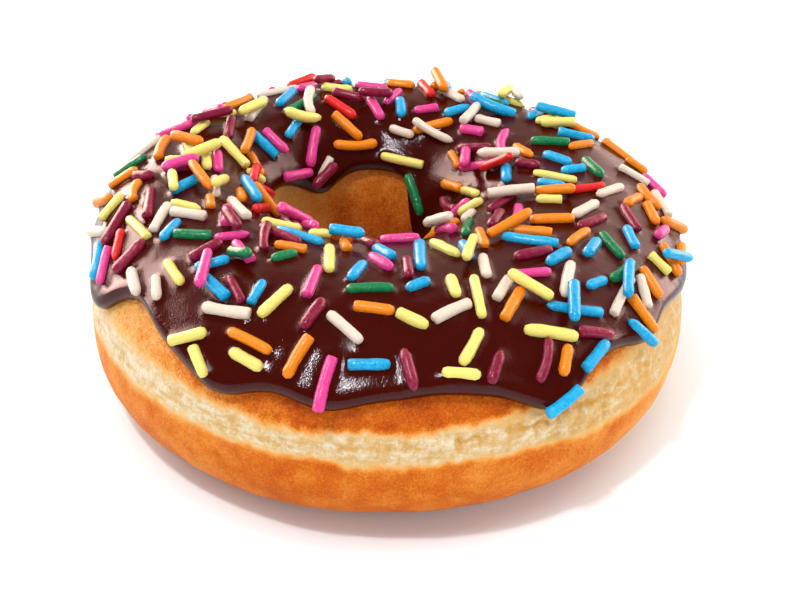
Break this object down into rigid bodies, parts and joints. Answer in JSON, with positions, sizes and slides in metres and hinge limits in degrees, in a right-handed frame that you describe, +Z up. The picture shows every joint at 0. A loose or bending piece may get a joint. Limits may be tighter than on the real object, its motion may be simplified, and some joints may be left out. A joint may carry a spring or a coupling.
{
  "type": "sprinkle frosted doughnut",
  "caption": "Ring doughnut of fried yeast dough with a shell of chocolate icing over its top and coloured sugar sprinkles scattered on the icing.",
  "frame": {"origin": "middle of the flat spot that the doughnut rests on, at the centre of its outline", "axes": "+Z up through the ring, the icing's side; +X towards the side where the ring is thick; -Y towards the front, where the ring is thickest and the icing runs lowest"},
  "size_m": [0.0904, 0.0902, 0.0329],
  "materials": {
    "dough": "dull fried crust, golden brown, with a pale band round its side",
    "icing": "glossy dark chocolate",
    "sprinkle_pink": "satin sugar, pink",
    "sprinkle_plum": "satin sugar, plum",
    "sprinkle_yellow": "satin sugar, pale yellow",
    "sprinkle_orange": "satin sugar, orange",
    "sprinkle_blue": "satin sugar, sky blue",
    "sprinkle_green": "satin sugar, dark green",
    "sprinkle_red": "satin sugar, red",
    "sprinkle_white": "satin sugar, warm white"
  },
  "bodies": {
    "root": {"dough_ring": "dough", "chocolate_icing": "icing"}
  },
  "joints": []
}
